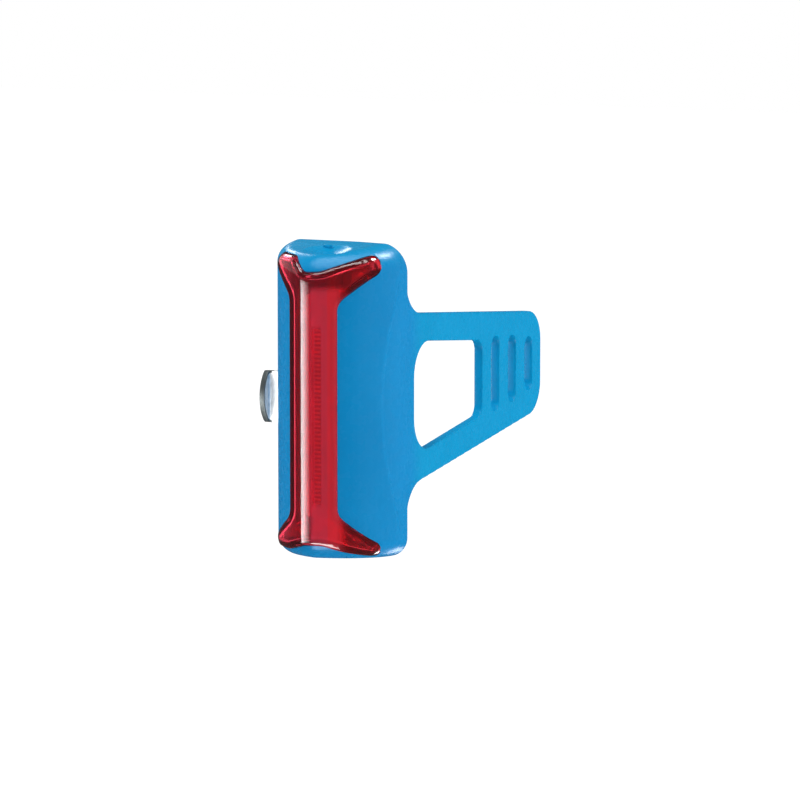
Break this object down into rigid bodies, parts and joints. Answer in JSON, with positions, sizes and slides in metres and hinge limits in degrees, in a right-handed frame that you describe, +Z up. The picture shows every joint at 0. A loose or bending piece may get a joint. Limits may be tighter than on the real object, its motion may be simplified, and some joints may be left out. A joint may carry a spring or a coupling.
{
  "type": "bicycle tail light",
  "caption": "Upright rechargeable rear light with a red bar lens, a soft silicone body and an integral slotted strap that wraps a seat post and catches a steel hook.",
  "frame": {"origin": "deepest point of the hollow back, where the seat post touches the middle of the light", "axes": "+X to the strap side, +Y backwards into the seat post, +Z up"},
  "size_m": [0.0362, 0.1053, 0.074],
  "materials": {
    "blue_silicone": "satin moulded silicone",
    "red_lens": "clear red polycarbonate, polished",
    "black_case": "fine spark texture",
    "black_seal": "matte",
    "screw_steel": "zinc plated",
    "polished_steel": "polished stainless sheet",
    "green_board": "solder resist",
    "ceramic_parts": "ceramic",
    "white_carrier": "satin",
    "board_aluminium": "white resist over aluminium",
    "phosphor": "soft silicone bead",
    "wire_cover": "smooth",
    "battery_foil": "laminated foil"
  },
  "bodies": {
    "light": {"silicone_boot": "blue_silicone", "lens": "red_lens", "case_back": "black_case", "case_seal": "black_seal", "case_screws": "screw_steel", "hook_screws": "screw_steel", "board_screws": "screw_steel", "steel_hook": "polished_steel", "usb_socket": "polished_steel", "main_board": "green_board", "control_chip": "black_case", "power_coil": "black_case", "small_parts": "ceramic_parts", "charge_led": "ceramic_parts", "led_carrier": "white_carrier", "led_board": "board_aluminium", "led_strip": "phosphor", "led_leads": "wire_cover", "battery": "battery_foil", "battery_pad": "black_seal", "battery_leads": "wire_cover", "switch_body": "black_case", "usb_tongue": "black_case"},
    "button": {"button_pad": "blue_silicone", "button_plunger": "white_carrier", "switch_stem": "black_case"},
    "port_flap": {"port_plug": "blue_silicone"},
    "strap_first": {"strap_upper_arm": "blue_silicone", "strap_lower_arm": "blue_silicone"},
    "strap_second": {"strap_yoke": "blue_silicone"},
    "strap_third": {"strap_web": "blue_silicone"},
    "strap_last": {"strap_tab": "blue_silicone"}
  },
  "joints": [
    {"name": "power_button", "type": "slide", "parent": "light", "child": "button", "axis": [0, 0, -1], "range_m": [0, 0.0004], "stiffness_N_per_m": 1500},
    {"name": "port_flap_hinge", "type": "hinge", "parent": "light", "child": "port_flap", "pos_m": [0, -0.0073, -0.0354], "axis": [1, 0, 0], "range_deg": [0, 95], "stiffness_Nm_per_rad": 0.001},
    {"name": "strap_bend_first", "type": "hinge", "parent": "light", "child": "strap_first", "pos_m": [0.014, 0.0229, 0], "axis": [0, 0, 1], "range_deg": [0, 42], "stiffness_Nm_per_rad": 0.003},
    {"name": "strap_bend_second", "type": "hinge", "parent": "strap_first", "child": "strap_second", "pos_m": [0.014, 0.0352, 0], "axis": [0, 0, 1], "range_deg": [0, 42], "stiffness_Nm_per_rad": 0.003},
    {"name": "strap_bend_third", "type": "hinge", "parent": "strap_second", "child": "strap_third", "pos_m": [0.014, 0.0475, 0], "axis": [0, 0, 1], "range_deg": [0, 42], "stiffness_Nm_per_rad": 0.003},
    {"name": "strap_bend_last", "type": "hinge", "parent": "strap_third", "child": "strap_last", "pos_m": [0.014, 0.0581, 0], "axis": [0, 0, 1], "range_deg": [0, 42], "stiffness_Nm_per_rad": 0.003}
  ],
  "couplings": [
    {"joint": "strap_bend_second", "follows": "strap_bend_first", "ratio": 1},
    {"joint": "strap_bend_third", "follows": "strap_bend_first", "ratio": 1},
    {"joint": "strap_bend_last", "follows": "strap_bend_first", "ratio": 1}
  ]
}
